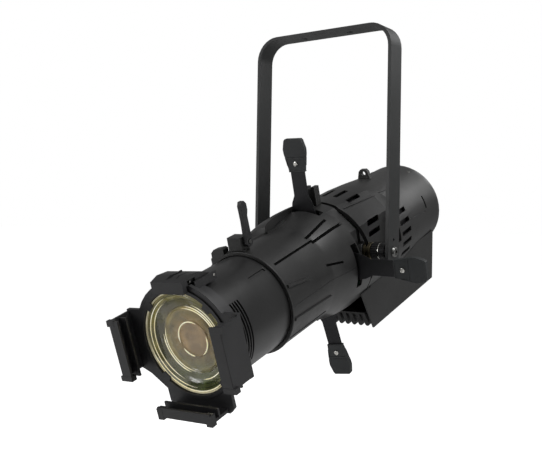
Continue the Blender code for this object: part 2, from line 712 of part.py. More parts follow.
def build_rear_panel(axis):
    outer, face = 0.0794, CAP_BACK
    start = HOUSING_BACK - GAP
    inside = [(face + 0.003, 0), (face + 0.003, 0.0725), (start, 0.0764)]
    outside = [(start, outer), (face + 0.006, 0.0785), (face + 0.0015, 0.0765), (face, 0.0720), (face, 0)]
    cap = turned("rear_cap", inside + outside, False)
    fittings = (
        ("display_window", "screen", (-0.024, 0.024), (0.024, 0.044), face - 0.0005, face + 0.0045),
        ("power_inlet", "plastic", (-0.016, -0.052), (0.016, -0.027), face - 0.0020, face + 0.0220),
    )
    for name, material, low, high, back, front in fittings:
        hole_low = (low[0] - GAP, low[1] - GAP, face - 0.01)
        hole_high = (high[0] + GAP, high[1] + GAP, start)
        cut(cap, block("opening", hole_low, hole_high))
        piece = block(name, (*low, back), (*high, front))
        if name == "power_inlet":
            cut(piece, block("inlet_recess", (-0.013, -0.049, back - 0.001), (0.013, -0.030, back + 0.014)))
        place(piece, material, axis)
    for word, x in (("in", -0.044), ("out", 0.044)):
        opening = disc("socket_opening", face - 0.01, start, 0.0125 + GAP, 24)
        opening.location = (x, -0.028, 0)
        cut(cap, opening)
        barrel = [(face + 0.018, 0), (face + 0.018, 0.0125), (face - 0.0020, 0.0125)]
        bore = [(face - 0.0020, 0.0095), (face + 0.010, 0.0095), (face + 0.010, 0)]
        socket = turned("data_socket_" + word, barrel + bore, False, 24)
        socket.location = (x, -0.028, 0)
        place(socket, "plastic", axis)
    for i in range(4):
        x = (i - 1.5) * 0.016
        opening = disc("button_opening", face - 0.01, start, 0.0045, 16)
        opening.location = (x, 0.008, 0)
        cut(cap, opening)
        seat = empty("menu_button_axis_%d" % (i + 1), axis, (x, 0.008, 0))
        button = disc("menu_button_%d" % (i + 1), face - 0.0022, face + 0.0050, 0.0040, 16)
        place(button, "plastic", seat)
    place(cap, "casting", axis)


def main():
    build_yoke()
    tilt = empty("tilt_axis", None, (0, 0, -PIVOT_DROP), (TILT, 0, 0))
    # the optical frame: X across, Y up, Z forward along the light
    axis = empty("optical_axis", tilt, (0, -PIVOT_BACK, -PIVOT_RISE), (math.pi / 2, 0, 0))
    build_pivots(tilt)
    build_barrel(axis)
    build_housing(axis)
    build_gate(axis)
    build_shutters(axis)
    build_focus_clamp(axis)
    lens_axis = empty("lens_axis", axis, (0, 0, 0), (0, 0, LENS_TURN))
    build_lens_tube(lens_axis)
    build_holder(lens_axis)
    build_latch(lens_axis)
    build_engine(axis)
    build_driver_box(axis)
    build_rear_panel(axis)


clear_scene()
PARTS = new_collection("ellipsoidal_spotlight")
CUTTERS = new_collection("cutters")
SLOTS = {name: new_material(name) for name in MATERIALS}
main()
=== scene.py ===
"""Looks for the ellipsoidal spotlight: edges, castings, lens, fasteners, materials, studio and camera."""

import json
import math

import bmesh
import bpy
from mathutils import Matrix, Vector
from mathutils.bvhtree import BVHTree


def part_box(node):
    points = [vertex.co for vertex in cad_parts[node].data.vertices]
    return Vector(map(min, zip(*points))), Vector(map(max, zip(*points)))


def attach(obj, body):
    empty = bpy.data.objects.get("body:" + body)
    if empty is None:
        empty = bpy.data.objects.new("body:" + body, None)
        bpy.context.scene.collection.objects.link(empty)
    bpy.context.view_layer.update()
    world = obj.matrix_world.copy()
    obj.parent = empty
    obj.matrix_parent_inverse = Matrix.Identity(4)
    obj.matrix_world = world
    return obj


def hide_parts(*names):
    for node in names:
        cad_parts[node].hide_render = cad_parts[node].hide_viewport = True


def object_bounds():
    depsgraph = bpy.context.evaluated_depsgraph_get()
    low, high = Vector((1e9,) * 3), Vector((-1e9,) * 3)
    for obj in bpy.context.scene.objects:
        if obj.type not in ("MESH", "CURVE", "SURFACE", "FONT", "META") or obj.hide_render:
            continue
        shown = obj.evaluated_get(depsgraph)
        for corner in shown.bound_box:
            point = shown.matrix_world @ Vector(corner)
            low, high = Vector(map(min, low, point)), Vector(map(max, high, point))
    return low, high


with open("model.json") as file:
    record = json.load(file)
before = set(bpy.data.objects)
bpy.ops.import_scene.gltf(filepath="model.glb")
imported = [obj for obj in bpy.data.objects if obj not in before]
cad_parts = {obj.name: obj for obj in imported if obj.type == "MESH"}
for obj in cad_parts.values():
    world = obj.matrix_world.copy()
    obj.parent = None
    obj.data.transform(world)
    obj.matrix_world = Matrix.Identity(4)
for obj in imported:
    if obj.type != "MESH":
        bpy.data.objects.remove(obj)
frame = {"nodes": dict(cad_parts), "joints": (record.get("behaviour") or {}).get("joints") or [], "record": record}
CAD_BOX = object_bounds()

# ------------ frames of reference

JOINTS = {joint["name"]: joint for joint in frame["joints"]}
ACROSS = Vector(JOINTS["tilt"]["axis"])
FORWARD = Vector(JOINTS["lens_slide"]["axis"]).normalized()
UP = FORWARD.cross(ACROSS)
LED_BOARD_AT = -0.0736  # the round LED board's middle, forward of the optical origin
LENS_TURN = math.radians(2.7)
TURN = 96


def middle(node):
    low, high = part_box(node)
    return (low + high) / 2


def frame_matrix(origin, across, up, forward):
    turn = Matrix((across, up, forward)).transposed()
    return Matrix.Translation(origin) @ turn.to_4x4()


# X across, Y up, Z forward along the light
OPTICAL = frame_matrix(middle("led_board") - FORWARD * LED_BOARD_AT, ACROSS, UP, FORWARD)
LENS = OPTICAL @ Matrix.Rotation(LENS_TURN, 4, "Z")
ROW = Matrix.Identity(4)
PIVOT = Matrix.Translation(JOINTS["tilt"]["pos_m"]) @ OPTICAL.to_3x3().to_4x4()


# ------------ mesh helpers


def mesh_object(name, mesh):
    made = bpy.data.objects.new(name, mesh)
    bpy.context.scene.collection.objects.link(made)
    return made


def from_bmesh(name, shape):
    bmesh.ops.recalc_face_normals(shape, faces=shape.faces)
    mesh = bpy.data.meshes.new(name)
    shape.to_mesh(mesh)
    shape.free()
    return mesh_object(name, mesh)


def from_cad(node, matrix):
    """A clean copy of a CAD node in a local frame: doubles welded, flat triangles merged."""
    shape = bmesh.new()
    shape.from_mesh(frame["nodes"][node].data)
    bmesh.ops.transform(shape, matrix=matrix.inverted(), verts=shape.verts)
    bmesh.ops.remove_doubles(shape, verts=shape.verts, dist=0.000005)
    bmesh.ops.dissolve_limit(shape, angle_limit=math.radians(0.5), verts=shape.verts, edges=shape.edges)
    return from_bmesh(node + "_copy", shape)


def block(low, high, name="block"):
    shape = bmesh.new()
    size = [b - a for a, b in zip(low, high)]
    centre = [(a + b) / 2 for a, b in zip(low, high)]
    bmesh.ops.create_cube(shape, matrix=Matrix.Translation(centre) @ Matrix.Diagonal((*size, 1)))
    return from_bmesh(name, shape)


def lathe(outline, name="lathe", segments=TURN, closed=True, axis="Z"):
    """A turned piece from (along, radius) points."""
    shape = bmesh.new()
    points = [shape.verts.new((radius, 0, along)) for along, radius in outline]
    count = len(points)
    spans = count if closed else count - 1
    edges = [shape.edges.new((points[i], points[(i + 1) % count])) for i in range(spans)]
    bmesh.ops.spin(shape, geom=points + edges, axis=(0, 0, 1), cent=(0, 0, 0), angle=2 * math.pi,
                   steps=segments)
    bmesh.ops.remove_doubles(shape, verts=shape.verts, dist=0.000005)
    if axis == "X":
        bmesh.ops.rotate(shape, verts=shape.verts, matrix=Matrix.Rotation(math.pi / 2, 3, "Y"))
    return from_bmesh(name, shape)


def tube_ring(low, high, bore, radius, name="ring", segments=TURN, axis="Z"):
    return lathe([(high, radius), (low, radius), (low, bore), (high, bore)], name, segments, True, axis)


def disc(low, high, radius, name="disc", segments=32, axis="Z"):
    return lathe([(high, 0), (high, radius), (low, radius), (low, 0)], name, segments, False, axis)


def prism(outline, low, high, name="prism", plane="XY"):
    """An outline extruded between two heights. Plane YZ takes (y, z) points and extrudes along X."""
    shape = bmesh.new()
    if plane == "XY":
        ends = [[shape.verts.new((x, y, at)) for x, y in outline] for at in (low, high)]
    else:
        ends = [[shape.verts.new((at, y, z)) for y, z in outline] for at in (low, high)]
    count = len(outline)
    for end in ends:
        shape.faces.new(end)
    for i in range(count):
        j = (i + 1) % count
        shape.faces.new((ends[0][i], ends[0][j], ends[1][j], ends[1][i]))
    return from_bmesh(name, shape)


def arc(radius, start, end, steps, centre=(0.0, 0.0)):
    angles = [math.radians(start + (end - start) * i / steps) for i in range(steps + 1)]
    return [(centre[0] + radius * math.cos(a), centre[1] + radius * math.sin(a)) for a in angles]


def spot(radius, degrees, along):
    """A point at a radius and angle round the optical axis."""
    turn = math.radians(degrees)
    return Vector((radius * math.cos(turn), radius * math.sin(turn), along))


def moved(piece, matrix):
    piece.data.transform(matrix)
    return piece


def boolean(piece, others, operation):
    for other in others:
        step = piece.modifiers.new(operation, "BOOLEAN")
        step.operation = operation
        step.object = other
        step.solver = "EXACT"
        apply(piece)
        bpy.data.objects.remove(other)
    return piece


def cut(piece, *others):
    return boolean(piece, others, "DIFFERENCE")


def join(piece, *others):
    return boolean(piece, others, "UNION")


def apply(piece):
    """The modifiers' result becomes the mesh."""
    depsgraph = bpy.context.evaluated_depsgraph_get()
    made = bpy.data.meshes.new_from_object(piece.evaluated_get(depsgraph), depsgraph=depsgraph)
    piece.modifiers.clear()
    piece.data = made


def body_of(node):
    for name, members in frame["record"]["behaviour"]["bodies"].items():
        if node in members:
            return name
    raise ValueError(node)


SKIN_NEAR = 0.0002  # a point this close to the outline lies on the turned skin
SKIN_ALIKE = math.cos(math.radians(7))  # and its face may lean from the exact normal by this much


def profile_normals(outline):
    """A turned outline's (along, radius, normal along, normal outward) at each of its points."""
    slopes = []
    for (z0, r0), (z1, r1) in zip(outline, outline[1:]):
        length = math.hypot(z1 - z0, r1 - r0)
        slopes.append(((r1 - r0) / length, (z0 - z1) / length))
    made = []
    for i, (along, radius) in enumerate(outline):
        pair = slopes[max(0, i - 1)], slopes[min(i, len(slopes) - 1)]
        made.append((along, radius, (pair[0][0] + pair[1][0]) / 2, (pair[0][1] + pair[1][1]) / 2))
    return made


def even_normals(piece, matrix, outline):
    """Give the turned skin the exact normals of its outline, so that cuts in it leave no smudges."""
    points, inverse, turn = profile_normals(outline), matrix.inverted(), matrix.to_3x3()
    mesh = piece.data
    normals = [corner.vector.copy() for corner in mesh.corner_normals]
    for polygon in mesh.polygons:
        for corner in polygon.loop_indices:
            at = inverse @ mesh.vertices[mesh.loops[corner].vertex_index].co
            for (z0, r0, a0, b0), (z1, r1, a1, b1) in zip(points, points[1:]):
                if z1 - SKIN_NEAR <= at.z <= z0 + SKIN_NEAR:
                    share = (z0 - at.z) / (z0 - z1)
                    radius, out = math.hypot(at.x, at.y), b0 + (b1 - b0) * share
                    if abs(radius - r0 - (r1 - r0) * share) < SKIN_NEAR:
                        exact = Vector((at.x / radius * out, at.y / radius * out, a0 + (a1 - a0) * share))
                        exact = (turn @ exact).normalized()
                        if exact.dot(polygon.normal) > SKIN_ALIKE:
                            normals[corner] = exact
                    break
    mesh.normals_split_custom_set(normals)


def finish_piece(piece, name, matrix, material, body, nodes=(), edge=0.0005, segments=2, limit=32,
                 outline=None):
    """Round the edges, shade smooth, place the piece, tie it to its body and hide the nodes it stands for."""
    piece.name = name
    piece.data.name = name
    for polygon in piece.data.polygons:
        polygon.use_smooth = True
    if edge:
        shape = bmesh.new()
        shape.from_mesh(piece.data)
        bmesh.ops.remove_doubles(shape, verts=shape.verts, dist=0.00001)
        bmesh.ops.dissolve_limit(shape, angle_limit=math.radians(0.5), verts=shape.verts, edges=shape.edges)
        shape.to_mesh(piece.data)
        shape.free()
        bevel = piece.modifiers.new("Edges", "BEVEL")
        bevel.width = edge
        bevel.segments = segments
        bevel.limit_method = "ANGLE"
        bevel.angle_limit = math.radians(limit)
        apply(piece)
    piece.data.transform(matrix)
    piece.data.set_sharp_from_angle(angle=math.radians(50))
    even = piece.modifiers.new("Even shading", "WEIGHTED_NORMAL")
    even.keep_sharp = True
    apply(piece)
    if outline:
        even_normals(piece, matrix, outline)
    piece.data.materials.clear()
    piece.data.materials.append(MATERIALS[material])
    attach(piece, body)
    if nodes:
        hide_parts(*nodes)
    return piece


def remade(node, matrix, material, edge=0.0005, segments=2):
    """A CAD node's own shape with rounded edges."""
    piece = from_cad(node, matrix)
    return finish_piece(piece, node + "_shape", matrix, material, body_of(node), [node], edge, segments)


# ------------ materials

MATERIALS = {}


def new_material(name):
    made = bpy.data.materials.new(name)
    made.use_nodes = True
    MATERIALS[name] = made
    tree = made.node_tree
    return tree, tree.nodes["Principled BSDF"]


def node(tree, kind, **inputs):
    made = tree.nodes.new(kind)
    for key, value in inputs.items():
        made.inputs[key.replace("_", " ")].default_value = value
    return made


def coordinates(tree):
    return tree.nodes.new("ShaderNodeTexCoord").outputs["Object"]


def noise(tree, scale, detail=2.0, rough=0.5):
    made = node(tree, "ShaderNodeTexNoise", Scale=scale, Detail=detail, Roughness=rough)
    tree.links.new(coordinates(tree), made.inputs["Vector"])
    return made.outputs["Fac"]


def spread(tree, value, low, high, start=0.3, end=0.7):
    made = tree.nodes.new("ShaderNodeMapRange")
    made.inputs["From Min"].default_value = start
    made.inputs["From Max"].default_value = end
    made.inputs["To Min"].default_value = low
    made.inputs["To Max"].default_value = high
    tree.links.new(value, made.inputs["Value"])
    return made.outputs["Result"]


def ramp(tree, value, stops):
    made = tree.nodes.new("ShaderNodeValToRGB")
    band = made.color_ramp
    while len(band.elements) < len(stops):
        band.elements.new(0.5)
    for element, (at, colour) in zip(band.elements, stops):
        element.position = at
        element.color = (*colour, 1.0)
    tree.links.new(value, made.inputs["Fac"])
    return made.outputs["Color"]


def bumped(tree, shader, heights):
    """Chain bumps: (height output, strength, depth in metres)."""
    last = None
    for height, strength, depth in heights:
        bump = node(tree, "ShaderNodeBump", Strength=strength, Distance=depth)
        tree.links.new(height, bump.inputs["Height"])
        if last:
            tree.links.new(last, bump.inputs["Normal"])
        last = bump.outputs["Normal"]
    tree.links.new(last, shader.inputs["Normal"])


def powder_coat(name, dark, light, rough_low, rough_high, grain=1100.0, depth=0.00006):
    """Sprayed black coat: fine orange peel, soft patches of handling sheen."""
    tree, shader = new_material(name)
    patches = noise(tree, 11.0, 4.0, 0.6)
    fine = noise(tree, grain, 2.0)
    peel = noise(tree, grain * 0.35, 1.0)
    colour = ramp(tree, patches, [(0.35, dark), (0.68, light)])
    tree.links.new(colour, shader.inputs["Base Color"])
    roughness = spread(tree, noise(tree, 23.0, 5.0, 0.65), rough_low, rough_high)
    tree.links.new(roughness, shader.inputs["Roughness"])
    shader.inputs["Specular IOR Level"].default_value = 0.5
    bumped(tree, shader, [(peel, 0.25, depth * 1.5), (fine, 0.35, depth)])


def moulded(name, dark, light, rough_low, rough_high, grain=2200.0):
    tree, shader = new_material(name)
    colour = ramp(tree, noise(tree, 30.0, 3.0), [(0.35, dark), (0.7, light)])
    tree.links.new(colour, shader.inputs["Base Color"])
    tree.links.new(spread(tree, noise(tree, 60.0, 3.0), rough_low, rough_high), shader.inputs["Roughness"])
    bumped(tree, shader, [(noise(tree, grain, 1.0), 0.3, 0.00003)])


def metal(name, dark, light, rough_low, rough_high, brushed=(1.0, 1.0, 1.0), grain=900.0):
    tree, shader = new_material(name)
    stretch = node(tree, "ShaderNodeMapping", Scale=brushed)
    tree.links.new(coordinates(tree), stretch.inputs["Vector"])
    streaks = node(tree, "ShaderNodeTexNoise", Scale=grain, Detail=3.0)
    tree.links.new(stretch.outputs["Vector"], streaks.inputs["Vector"])
    colour = ramp(tree, streaks.outputs["Fac"], [(0.3, dark), (0.7, light)])
    tree.links.new(colour, shader.inputs["Base Color"])
    tree.links.new(spread(tree, streaks.outputs["Fac"], rough_low, rough_high), shader.inputs["Roughness"])
    shader.inputs["Metallic"].default_value = 1.0
    bumped(tree, shader, [(streaks.outputs["Fac"], 0.15, 0.00004)])


powder_coat("casting_black", (0.013, 0.013, 0.013), (0.020, 0.020, 0.0195), 0.34, 0.44)
powder_coat("tube_black", (0.012, 0.012, 0.012), (0.018, 0.018, 0.018), 0.30, 0.38)
powder_coat("holder_black", (0.011, 0.011, 0.012), (0.017, 0.017, 0.018), 0.40, 0.52)
powder_coat("strap_black", (0.013, 0.014, 0.014), (0.019, 0.020, 0.020), 0.42, 0.54)
moulded("grip_black", (0.013, 0.015, 0.016), (0.020, 0.022, 0.023), 0.42, 0.56)
moulded("plastic_black", (0.010, 0.010, 0.011), (0.016, 0.016, 0.017), 0.4, 0.55)
metal("blade_black", (0.030, 0.030, 0.032), (0.050, 0.050, 0.052), 0.38, 0.5, (1, 1, 8))
metal("steel_bright", (0.55, 0.54, 0.51), (0.75, 0.74, 0.70), 0.18, 0.3)
# near-black, matt material for strips laid where the castings only have shade: painted shade
tree, shader = new_material("painted_shade_black")
tree.links.new(
    ramp(tree, noise(tree, 300.0), [(0.3, (0.001, 0.001, 0.001)), (0.7, (0.003, 0.003, 0.003))]),
    shader.inputs["Base Color"],
)
shader.inputs["Roughness"].default_value = 0.9
shader.inputs["Specular IOR Level"].default_value = 0.05
metal("steel_dark", (0.10, 0.10, 0.10), (0.20, 0.20, 0.19), 0.3, 0.42)
metal("brass_dull", (0.10, 0.085, 0.055), (0.18, 0.155, 0.10), 0.3, 0.42)
metal("aluminium_plain", (0.50, 0.51, 0.52), (0.62, 0.63, 0.64), 0.3, 0.42)
moulded("board_green", (0.02, 0.11, 0.05), (0.03, 0.17, 0.07), 0.4, 0.5)
moulded("emitter_yellow", (0.75, 0.60, 0.12), (0.88, 0.72, 0.18), 0.4, 0.5)


def gloss_screen():
    tree, shader = new_material("screen_dark")
    shader.inputs["Roughness"].default_value = 0.08
    shader.inputs["Coat Weight"].default_value = 1.0
    shader.inputs["Coat Roughness"].default_value = 0.03
    tree.links.new(
        ramp(tree, noise(tree, 40.0), [(0.3, (0.006, 0.009, 0.014)), (0.7, (0.010, 0.015, 0.022))]),
        shader.inputs["Base Color"],
    )


gloss_screen()

# ------------ surfaces to build on


class Skin:
    """The outside of some CAD nodes, probed from outside towards the optical axis."""

    def __init__(self, *nodes):
        points, faces = [], []
        for name in nodes:
            mesh = frame["nodes"][name].data
            offset = len(points)
            points += [vertex.co.copy() for vertex in mesh.vertices]
            faces += [[offset + i for i in polygon.vertices] for polygon in mesh.polygons]
        self.tree = BVHTree.FromPolygons(points, faces)

    def radius(self, degrees, along, matrix):
        reach = 0.2
        start = matrix @ spot(reach, degrees, along)
        towards = (matrix @ Vector((0, 0, along)) - start).normalized()
        distance = self.tree.ray_cast(start, towards)[3]
        return reach - distance if distance is not None else None


def swept(path, radius_at, width, above, below, name="strip", taper=0.8):
    """A strip of trapezoid section laid along (degrees, along) points of a round body."""
    shape = bmesh.new()
    sections = []
    for i, (degrees, along) in enumerate(path):
        before, after = path[max(i - 1, 0)], path[min(i + 1, len(path) - 1)]
        radius = radius_at(degrees, along)
        ahead = spot(radius, *after) - spot(radius, *before)
        outward = Vector((math.cos(math.radians(degrees)), math.sin(math.radians(degrees)), 0))
        across = ahead.cross(outward).normalized()
        here = spot(radius, degrees, along)
        corners = ((-0.5, -below), (-0.5 * taper, above), (0.5 * taper, above), (0.5, -below))
        sections.append([shape.verts.new(here + across * width * side + outward * rise)
                         for side, rise in corners])
    for first, second in zip(sections, sections[1:]):
        for i in range(4):
            j = (i + 1) % 4
            shape.faces.new((first[i], first[j], second[j], second[i]))
    shape.faces.new(sections[0])
    shape.faces.new(sections[-1])
    return from_bmesh(name, shape)


def course(start, end, steps=16):
    """Evenly spaced (degrees, along) points between two."""
    return [tuple(a + (b - a) * i / steps for a, b in zip(start, end)) for i in range(steps + 1)]


BODY_SKIN = Skin("barrel_upper", "barrel_lower", "rear_housing")


def body_radius(degrees, along):
    return BODY_SKIN.radius(degrees, along, OPTICAL) or 0.0885


def tube_radius(degrees, along):
    return LENS_TUBE_RADIUS


# ------------ yoke and pivots

LENS_TUBE_RADIUS = 0.0716
ARM_INNER, ARM_OUTER = 0.1201, 0.1256


def build_yoke():
    remade("yoke", ROW, "strap_black", 0.0009, 3)


def ribbed_disc(low, high, radius, ribs, bore, name):
    outline = []
    for i in range(ribs):
        for share, reach in ((0.0, 1.0), (0.22, 1.0), (0.42, 0.94), (0.80, 0.94)):
            angle = 2 * math.pi * (i + share) / ribs
            outline.append((radius * reach * math.cos(angle), radius * reach * math.sin(angle)))
    body = prism(outline, low, high, name)
    cut(body, disc(low - 0.01, high + 0.01, bore, "bore", 24))
    body.data.transform(Matrix.Rotation(math.pi / 2, 4, "Y"))
    return body


def build_pivots():
    bolt = 0.0055
    for word, side in (("near", 1), ("far", -1)):
        place = PIVOT @ Matrix.Rotation(0 if side > 0 else math.pi, 4, "Z")
        knob_low, knob_high = 0.0924, ARM_INNER - 0.0005
        split = knob_low + 0.0125
        hub = lathe([(0.0785, 0.0150), (0.0775, 0.0160), (0.0718, 0.0160), (0.0704, 0.0160), (0.0704, bolt),
                     (0.0785, bolt)], "hub", 48, True, "X")
        finish_piece(hub, "pivot_hub_%s_turned" % word, place, "casting_black", "housing",
                     ["pivot_hub_" + word], 0.0004)
        friction = lathe([(0.0915, 0.0132), (0.0910, 0.0140), (0.0860, 0.0140), (0.0855, 0.0120),
                          (0.0835, 0.0120),
                          (0.0830, 0.0140), (0.0793, 0.0140), (0.0789, 0.0132), (0.0789, bolt),
                          (0.0915, bolt)], "friction", 48, True, "X")
        finish_piece(friction, "friction_disc_%s_turned" % word, place, "brass_dull", "housing",
                     ["friction_disc_" + word], 0.0002)
        knob = ribbed_disc(knob_low + 0.0006, split - 0.0012, 0.0145, 26, bolt, "knob")
        join(knob, ribbed_disc(split + 0.0012, knob_high - 0.0040, 0.0145, 26, bolt, "knob_outer"),
             lathe([(split + 0.002, 0.0110), (split - 0.002, 0.0110), (split - 0.002, bolt),
                    (split + 0.002, bolt)],
                   "waist", 32, True, "X"))
        finish_piece(knob, "tilt_knob_%s_ribbed" % word, place, "plastic_black", "knob_" + word,
                     ["tilt_knob_" + word], 0.0004)
        washers = lathe([(split + 0.0012, 0.0140), (split - 0.0004, 0.0140), (split - 0.0004, 0.0112),
                         (split + 0.0012, 0.0112)], "washer", 48, True, "X")
        finish_piece(washers, "tilt_knob_%s_washer" % word, place, "steel_bright", "knob_" + word, (),
                     0.0002)
        collar = lathe([(knob_high, 0.0095), (knob_high - 0.0038, 0.0105), (knob_high - 0.0038, bolt),
                        (knob_high, bolt)], "collar", 32, True, "X")
        finish_piece(collar, "tilt_knob_%s_collar" % word, place, "steel_dark", "knob_" + word, (), 0.0003)
        outer = ARM_OUTER + 0.0004
        head = lathe([(outer + 0.0044, 0.0), (outer + 0.0044, 0.0052), (outer + 0.0036, 0.0066),
                      (outer + 0.0010, 0.0080),
                      (outer, 0.0080), (outer, 0.005), (0.0715, 0.005), (0.0715, 0)], "bolt", 32, False, "X")
        socket = prism(arc(0.0030, 0, 300, 5), outer + 0.0016, outer + 0.01, "socket")
        socket.data.transform(Matrix.Rotation(math.pi / 2, 4, "Y"))
        cut(head, socket)
        finish_piece(head, "pivot_bolt_%s_headed" % word, place, "steel_dark", "yoke",
                     ["pivot_bolt_" + word], 0.0003)


# ------------ body castings

# raised ribs along the barrel, as (start, end) of (degrees, forward)
BARREL_RIBS = (
    ((109.0, 0.1760), (103.2, 0.1220)),
    ((100.2, 0.1180), (97.5, 0.0740)),
    ((22.0, 0.2020), (17.0, 0.1530)),
    ((-14.5, 0.2020), (-18.0, 0.1050)),
)
# grooves, as (start, end, width)
BARREL_GROOVES = (
    ((48.5, 0.1960), (50.0, 0.0960), 0.0034),
    ((47.7, 0.1010), (46.0, 0.0240), 0.0044),
    ((56.0, 0.1030), (59.0, 0.0460), 0.0044),
    ((18.0, 0.1040), (12.0, 0.0700), 0.0034),
)
GAP = 0.0004
PARTING_GAP = 0.003
BARREL_WALL, HOUSING_WALL = 0.0036, 0.003
BARREL_OUTLINE = ((0.207, 0.0762), (0.098, 0.0762), (0.093, 0.0772), (0.055, 0.0862), (0.030, 0.0885),
                  (PARTING_GAP / 2, 0.0885))
HOUSING_OUTLINE = ((-PARTING_GAP / 2, 0.0885), (-0.089, 0.0885), (-0.135, 0.0862), (-0.185, 0.0822),
                   (-0.242, 0.0802), (-0.271, 0.0796))
FLAT_HALF_WIDTH = 0.070
CHAMFER_REACH = 0.117
FLAT_FLOOR = -0.008
FLAT_FRONT, FLAT_BACK = 0.029, -0.105
SLOT_HALF_WIDTH = 0.034


def pocket_cutters(inset):
    """What is missing from the round body beside each pivot: a flat and a chamfer above it."""
    made = []
    flat, chamfer = FLAT_HALF_WIDTH - inset, CHAMFER_REACH / math.sqrt(2) - inset
    front, back = FLAT_FRONT + inset, FLAT_BACK - inset
    for side in (-1, 1):
        low, high = sorted((side * flat, side * 0.12))
        made.append(block((low, FLAT_FLOOR - inset, back), (high, 0.06, front)))
        bevel = block((-0.06, chamfer, back), (0.06, 0.13, front))
        made.append(moved(bevel, Matrix.Rotation(-side * math.pi / 4, 4, "Z")))
        ramp_end = block((-0.06, 0, -0.06), (0.06, 0.05, 0.002))
        lean = Matrix.Translation((0, chamfer, back)) @ Matrix.Rotation(math.radians(14), 4, "X")
        made.append(moved(ramp_end, Matrix.Rotation(-side * math.pi / 4, 4, "Z") @ lean))
    return made


def body_shell(outline, wall, name):
    """A turned shell with flats: the outer form, less the same form drawn in by the wall."""
    front, back = outline[0][0], outline[-1][0]
    shell = lathe([(front, 0), *outline, (back, 0)], name, TURN, False)
    inner = [(along, radius - wall) for along, radius in outline]
    hollow = lathe([(front + 0.01, 0), (front + 0.01, inner[0][1]), *inner, (back - 0.01, inner[-1][1]),
                    (back - 0.01, 0)], name + "_hollow", TURN, False)
    cut(shell, *pocket_cutters(0))
    cut(hollow, *pocket_cutters(wall))
    return cut(shell, hollow)


def barrel_hump():
    """The raised shoulder on the upper far side, with a steep front, as a thick sector."""
    outer = [(0.120, 0.0772), (0.1165, 0.0860), (0.108, 0.0902), (0.092, 0.0926), (0.060, 0.0943),
             (0.033, 0.0940), (0.006, 0.0915)]
    inner = [(0.002, 0.0880), (0.030, 0.0868), (0.055, 0.0845), (0.093, 0.0755), (0.120, 0.0745)]
    hump = lathe(outer + inner, "hump")
    sector = prism([(0, 0), *arc(0.13, 101, 152, 4)], 0, 0.13)
    return boolean(hump, [sector], "INTERSECT")


def slot_cutters():
    made = []
    for degrees in (0, 90, 180, 270):
        slot = block((0.055, -SLOT_HALF_WIDTH, 0.0315), (0.11, SLOT_HALF_WIDTH, 0.0445))
        made.append(moved(slot, Matrix.Rotation(math.radians(degrees), 4, "Z")))
    return made


def parting_line(along):
    return [(degrees, along) for degrees in range(-24, 205, 3)]


def parting_groove(along, width):
    """A rebate round the upper body that darkens the joint between barrel and rear housing."""
    return swept(parting_line(along), body_radius, width, 0.006, 0.0026, "parting", 1.0)


def build_barrel():
    """Two castings with draft ribs, panel grooves and a thin lip at the sleeve's mouth."""
    for name, low, high in (("barrel_upper", -0.12, GAP / 2), ("barrel_lower", -GAP / 2, 0.12)):
        shell = body_shell(BARREL_OUTLINE, BARREL_WALL, name)
        if name == "barrel_upper":
            join(shell, barrel_hump())
            for start, end, width in BARREL_GROOVES:
                cut(shell, swept(course(start, end), body_radius, width, 0.004, 0.0028, "groove", 1.2))
        else:
            for degrees in (-40.0, -140.0, 198.0):
                ends = ((degrees, 0.200), (degrees, 0.104))
                join(shell, swept(course(*ends), body_radius, 0.0030, 0.0010, 0.0015, "rib"))
        for start, end in BARREL_RIBS:
            if (start[0] > 0) == (name == "barrel_upper"):
                join(shell, swept(course(start, end), body_radius, 0.0050, 0.0024, 0.0015, "rib"))
        if name == "barrel_upper":
            cut(shell, parting_groove(0.0019, 0.0042))
        cut(shell, block((-0.12, low, -0.02), (0.12, high, 0.25)), *slot_cutters())
        finish_piece(shell, name + "_casting", OPTICAL, "casting_black", "housing", [name], 0.0006,
                     outline=BARREL_OUTLINE)
    # near-black strips laid on the grooves' floors: painted shade that makes the grooves read dark
    for number, (start, end, width) in enumerate(BARREL_GROOVES, 1):
        strip = swept(course(start, end), body_radius, width * 0.8, -0.0010, 0.0029, "strip", 1.0)
        finish_piece(strip, "groove_painted_shade_strip_%d" % number, OPTICAL, "painted_shade_black", "housing", (), 0)
    mouth = BARREL_OUTLINE[0][0]
    lip = lathe([(mouth - 0.0002, 0.0766), (mouth - 0.0008, 0.0772), (mouth - 0.0020, 0.0772),
                 (mouth - 0.0020, 0.0755), (mouth - 0.0002, 0.0755)], "lip")
    finish_piece(lip, "sleeve_mouth_lip", OPTICAL, "casting_black", "housing", (), 0.0003)
    # a near-black strip round the joint between barrel and rear housing: painted shade that darkens the parting
    # gap
    parting_shade_strip = swept(parting_line(0.0), body_radius, 0.0078, -0.0016, 0.0026, "parting_shade_strip", 1.0)
    finish_piece(parting_shade_strip, "parting_painted_shade", OPTICAL, "painted_shade_black", "housing", (), 0)


def screw_in_casting(name, matrix, degrees, along, radius_at, body, size=0.0030):
    """A small pan-head screw with a cross recess, sunk a little into a round body."""
    dome = [(0.0012, 0), (0.0011, size * 0.6), (0.0006, size), (-0.0006, size), (-0.0006, 0)]
    head = lathe(dome, name, 20, False)
    slot = block((-size * 0.55, -size * 0.12, 0.0005), (size * 0.55, size * 0.12, 0.002))
    cross = block((-size * 0.12, -size * 0.55, 0.0005), (size * 0.12, size * 0.55, 0.002))
    cut(head, slot, cross)
    turn = math.radians(degrees)
    outward = Vector((math.cos(turn), math.sin(turn), 0))
    along_axis = Vector((0, 0, 1))
    local = Matrix((along_axis.cross(outward), along_axis, outward)).transposed().to_4x4()
    seat = Matrix.Translation(spot(radius_at(degrees, along), degrees, along)) @ local
    return finish_piece(head, name, matrix @ seat, "steel_dark", body, (), 0.00015)


